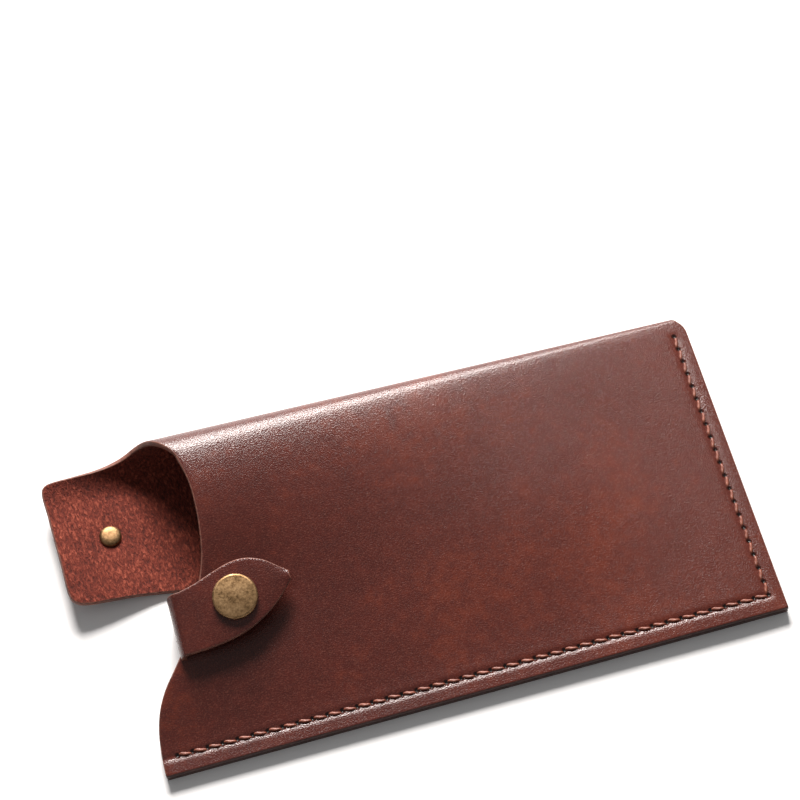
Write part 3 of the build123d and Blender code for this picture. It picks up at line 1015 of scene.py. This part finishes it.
@dataclass(frozen=True)
class GrainLeather:
    """Waxed grain side: fine pebble, mottled red-brown, soft gloss."""

    name: str = "grain_leather"
    dark: tuple = (0.040, 0.0066, 0.0046)
    mid: tuple = (0.060, 0.0095, 0.0060)
    warm: tuple = (0.112, 0.0185, 0.0075)
    hole_size: float = 0.00085

    def seam_holes(self, s: Shader, x: object, y: object, layout: Layout, seam: Seam) -> Socket:
        """Mask that is 1 in the awl holes between stitches, from distances along both rows; it paints the
        shade in the holes and sinks the bump.
        """
        holes = seam.holes() + layout.origin[:2]
        corner = holes[seam.end_count] * MM
        pitch = seam.pitch * MM
        masks = []
        long_row = (x, y, corner[0], corner[1], corner[0] - seam.long_count * pitch, corner[0])
        end_row = (y, x, corner[1], corner[0], corner[1], corner[1] + seam.end_count * pitch)
        for along, across, start, row, low, top in (long_row, end_row):
            phase = s.math("SUBTRACT", along, start - 200 * pitch + pitch / 2)
            local = s.math("SUBTRACT", s.math("MODULO", phase, pitch), pitch / 2)
            off = s.math("SUBTRACT", across, row)
            squares = s.math("ADD", s.math("MULTIPLY", local, local), s.math("MULTIPLY", off, off))
            apart = s.math("SQRT", squares)
            near = s.math("SUBTRACT", 1.0, s.math("DIVIDE", apart, self.hole_size), clamp=True)
            middle = s.math("ABSOLUTE", s.math("SUBTRACT", along, (low + top) / 2))
            limit = s.math("LESS_THAN", middle, (top - low) / 2 + pitch / 3)
            masks.append(s.math("MULTIPLY", near, limit))
        return s.math("MAXIMUM", masks[0], masks[1])

    def make(self, layout: Layout, seam: Seam) -> Material:
        """Builds the material."""
        s = Shader(self.name)
        at = s.place()
        x, y, z = s.axes(at)
        pebble = s.cells(at, 2900.0)
        fine = s.noise(at, 3800.0, 4.0, 0.7)
        broad = s.noise(at, 26.0, 4.0, 0.6)
        patch = s.noise(at, 300.0, 3.0, 0.6)
        base = s.ramp(s.weigh(0.6, broad, patch), [(0.32, self.dark), (0.52, self.mid), (0.72, self.warm)])
        end_warmth = s.math("MULTIPLY", s.math("ADD", x, 0.02), 7.0, clamp=True)
        base = s.mix(s.math("MULTIPLY", end_warmth, 0.30), base, self.warm)
        # Lighter specks: grain tone, and painted glints for the sparkle of the grain.
        grain_speck_and_glint = s.math("MULTIPLY", s.math("SUBTRACT", s.noise(at, 2300.0, 2.0, 0.6), 0.5), 4.0, clamp=True)
        base = s.mix(s.math("MULTIPLY", grain_speck_and_glint, 0.34), base, (0.21, 0.068, 0.044))
        holes = self.seam_holes(s, x, y, layout, seam)
        front = s.math("GREATER_THAN", z, 0.0024)
        holes = s.math("MULTIPLY", holes, front)
        # Painted shade: the awl holes are not cut in the mesh, so the shade inside them is painted near
        # black.
        base = s.mix(s.math("MULTIPLY", holes, 1.6, clamp=True), base, (0.006, 0.003, 0.002))
        rough = s.math("ADD", 0.19, s.math("MULTIPLY", s.noise(at, 1500.0, 3.0), 0.15))
        grain = s.bump(s.math("ADD", pebble, s.math("MULTIPLY", fine, 0.5)), 0.42, 0.00016)
        pulled = s.bump(s.math("MULTIPLY", holes, -1.0), 0.9, 0.0006, grain)
        return s.finish(base, rough, pulled, {"Specular IOR Level": 0.46, "IOR": 1.5})


@dataclass(frozen=True)
class SuedeLeather:
    """Rough flesh side: clumped nap with bright fibre tips."""

    name: str = "suede_leather"
    dark: tuple = (0.035, 0.0055, 0.004)
    mid: tuple = (0.135, 0.021, 0.012)
    bright: tuple = (0.40, 0.098, 0.056)

    def make(self) -> Material:
        """Builds the material."""
        s = Shader(self.name)
        at = s.place()
        combed = s.scaled(at, (1.0, 0.45, 1.0), (0.0, 0.0, 0.9))
        clump = s.noise(combed, 1500.0, 4.0, 0.62, 0.6)
        fibre = s.noise(s.scaled(at, (1.0, 0.3, 1.0), (0.0, 0.0, 0.7)), 5200.0, 3.0, 0.7)
        broad = s.noise(at, 90.0, 3.0, 0.6)
        height = s.weigh(0.75, clump, fibre)
        tone = s.weigh(0.85, height, broad)
        base = s.ramp(tone, [(0.36, self.dark), (0.52, self.mid), (0.70, self.bright)])
        nap = s.bump(height, 1.0, 0.0009)
        return s.finish(base, 0.86, nap, {"Specular IOR Level": 0.22, "Sheen Weight": 0.10,
                                          "Sheen Roughness": 0.5, "Sheen Tint": (0.9, 0.45, 0.32)})


@dataclass(frozen=True)
class CutEdge:
    """Cut edge of the sheet: streaked fibre, with painted shade nearly black along the sewn long edge."""

    name: str = "cut_edge"
    colour: tuple = (0.055, 0.015, 0.010)
    pale: tuple = (0.24, 0.090, 0.058)
    # Colour of the painted shade on the sewn long edge, and the width of the strip it covers.
    painted_edge_shade: tuple = (0.020, 0.0055, 0.004)
    shaded_edge_width: float = 0.6

    def make(self, layout: Layout) -> Material:
        """Builds the material; the sewn long edge, which faces away from the light, is painted nearly black
        as shade.
        """
        s = Shader(self.name)
        at = s.place()
        shaded_long_edge = s.math("LESS_THAN", s.axes(at)[1], (layout.origin[1] + self.shaded_edge_width) * MM)
        streak = s.noise(s.scaled(at, (0.35, 0.35, 1.6)), 2600.0, 4.0, 0.65)
        patch = s.noise(at, 120.0, 3.0)
        base = s.ramp(s.weigh(0.6, streak, patch), [(0.38, self.colour), (0.66, self.pale)])
        # Painted shade: the strip of cut edge along the sewn long edge is mixed towards near black.
        base = s.mix(s.math("MULTIPLY", shaded_long_edge, 0.85), base, self.painted_edge_shade)
        rough = s.bump(streak, 0.6, 0.0002)
        return s.finish(base, 0.55, rough, {"Specular IOR Level": 0.4})


@dataclass(frozen=True)
class WaxedThread:
    """Waxed thread: copper red-brown with fine fibres along it."""

    name: str = "waxed_thread"
    dark: tuple = (0.10, 0.023, 0.013)
    bright: tuple = (0.31, 0.092, 0.050)

    def make(self) -> Material:
        """Builds the material."""
        s = Shader(self.name)
        at = s.place()
        fibre = s.noise(at, 4200.0, 4.0, 0.7)
        tone = s.noise(at, 350.0, 2.0)
        base = s.ramp(s.weigh(0.6, fibre, tone), [(0.35, self.dark), (0.68, self.bright)])
        bumped = s.bump(fibre, 0.5, 0.0002)
        return s.finish(base, 0.42, bumped, {"Specular IOR Level": 0.55})


@dataclass(frozen=True)
class AntiqueBrass:
    """Antique brass: satin metal with mottled patina and fine scratches."""

    name: str = "antique_brass"
    dark: tuple = (0.115, 0.066, 0.028)
    mid: tuple = (0.34, 0.205, 0.10)
    bright: tuple = (0.50, 0.32, 0.165)

    def make(self) -> Material:
        """Builds the material."""
        s = Shader(self.name)
        at = s.place()
        spots = s.noise(at, 1500.0, 5.0, 0.72)
        cloud = s.noise(at, 300.0, 3.0, 0.6)
        scratch = s.noise(s.scaled(at, (1.0, 0.06, 1.0), (0.0, 0.0, 0.8)), 5200.0, 2.0)
        tone = s.weigh(0.55, spots, cloud)
        base = s.ramp(tone, [(0.36, self.dark), (0.5, self.mid), (0.64, self.bright)])
        rough = s.math("ADD", 0.34, s.math("MULTIPLY", spots, 0.22))
        bumped = s.bump(s.math("ADD", scratch, s.math("MULTIPLY", spots, 0.8)), 0.35, 0.00009)
        return s.finish(base, rough, bumped, {"Metallic": 1.0})


@dataclass(frozen=True)
class SpringWire:
    """Bright spring wire with drawn streaks."""

    name: str = "spring_wire"

    def make(self) -> Material:
        """Builds the material."""
        s = Shader(self.name)
        streak = s.noise(s.place(), 3000.0, 3.0)
        base = s.ramp(streak, [(0.4, (0.35, 0.35, 0.36)), (0.65, (0.62, 0.62, 0.64))])
        return s.finish(base, 0.3, s.bump(streak, 0.2, 0.00005), {"Metallic": 1.0})


@dataclass
class Studio:
    """Pale floor, soft lights and the camera."""

    target: tuple = (0.00969, 0.04545, 0.0)
    distance: float = 0.6563
    azimuth: float = -9.076
    elevation: float = 63.118
    roll: float = -6.606
    lens: float = 102.2

    def floor(self) -> None:
        """Wide pale floor just under the case."""
        mesh = bpy.data.meshes.new("floor")
        side, low = 3.0, -0.00002
        corners = [(-side, -side, low), (side, -side, low), (side, side, low), (-side, side, low)]
        mesh.from_pydata(corners, [], [(0, 1, 2, 3)])
        made = bpy.data.objects.new("floor", mesh)
        bpy.context.scene.collection.objects.link(made)
        s = Shader("pale_floor")
        at = s.node("ShaderNodeTexCoord").outputs["Object"]
        tone = s.noise(at, 3.0, 2.0)
        base = s.ramp(tone, [(0.3, (0.86, 0.86, 0.865)), (0.7, (0.89, 0.89, 0.895))])
        mesh.materials.append(s.finish(base, 0.9, s.bump(tone, 0.02, 0.0005), {"Specular IOR Level": 0.1}))

    def light(self, name: str, place: tuple, at: tuple, size: tuple, power: float, colour: tuple) -> None:
        """Soft box light.

        Args:
            name: The light's name.
            place: Where it hangs.
            at: What it points at.
            size: Width and height.
            power: Watts.
            colour: Its colour.
        """
        data = bpy.data.lights.new(name, "AREA")
        data.shape = "RECTANGLE"
        data.size, data.size_y = size
        data.energy = power
        data.color = colour
        made = bpy.data.objects.new(name, data)
        made.location = place
        made.rotation_euler = (Vector(at) - Vector(place)).to_track_quat("-Z", "Y").to_euler()
        bpy.context.scene.collection.objects.link(made)

    def camera(self) -> None:
        """Camera looking down on the case, its long lens a little rolled."""
        az, el, roll = (math.radians(a) for a in (self.azimuth, self.elevation, self.roll))
        back = Vector((math.cos(el) * math.sin(az), -math.cos(el) * math.cos(az), math.sin(el)))
        level = Vector((math.cos(az), math.sin(az), 0.0))
        over = back.cross(level)
        right = level * math.cos(roll) + over * math.sin(roll)
        up = over * math.cos(roll) - level * math.sin(roll)
        turn = Matrix((right, up, back)).transposed().to_4x4()
        data = bpy.data.cameras.new("camera")
        data.lens = self.lens
        data.sensor_width = 36.0
        data.clip_start = 0.02
        made = bpy.data.objects.new("camera", data)
        made.matrix_world = Matrix.Translation(Vector(self.target) + back * self.distance) @ turn
        bpy.context.scene.collection.objects.link(made)
        bpy.context.scene.camera = made

    def build(self) -> None:
        """Sets up the floor, lights, world and camera."""
        self.floor()
        self.light("key", (0.07, 0.76, 0.54), (0.0, 0.03, 0.0), (0.44, 0.34), 27.0, (1.0, 0.955, 0.92))
        self.light("fill", (-0.7, -0.5, 0.9), (0.0, 0.0, 0.0), (0.9, 0.9), 0.8, (1.0, 0.96, 0.93))
        self.light("side", (0.9, 0.3, 0.7), (0.0, 0.0, 0.0), (0.7, 0.7), 0.4, (1.0, 0.95, 0.9))
        world = bpy.data.worlds.new("soft_room")
        world.use_nodes = True
        sky = world.node_tree.nodes["Background"].inputs
        sky["Color"].default_value = (1.0, 1.0, 1.0, 1.0)
        sky["Strength"].default_value = 0.20
        bpy.context.scene.world = world
        bpy.context.scene.view_settings.view_transform = "Standard"
        self.camera()


def main() -> None:
    """Builds the finishes, the leather, the seam and the press stud, in that order."""
    logging.basicConfig(level=logging.INFO)
    Studio().build()
    layout = Layout()
    pouch = PouchLeather(layout)
    seam = Seam(layout, pouch)
    strap = StrapLeather(layout)
    hide = [GrainLeather().make(layout, seam), SuedeLeather().make(), CutEdge().make(layout)]
    thread, brass, wire = WaxedThread().make(), AntiqueBrass().make(), SpringWire().make()
    # Darker copy of the antique brass for the rivet's dome: painted shade, so the dome shows less bright
    # under the key light.
    rivet = AntiqueBrass("shaded_rivet_brass", (0.09, 0.050, 0.022), (0.21, 0.122, 0.058), (0.31, 0.19, 0.095)).make()
    made = [pouch.make(hide), *strap.make(hide), *seam.make(thread)]
    made += PressStud(layout, strap, pouch).make(brass, rivet, wire)
    for piece in made:
        LOG.info("%s: %d faces", piece.name, len(piece.data.polygons))


if __name__ == "__main__":
    main()
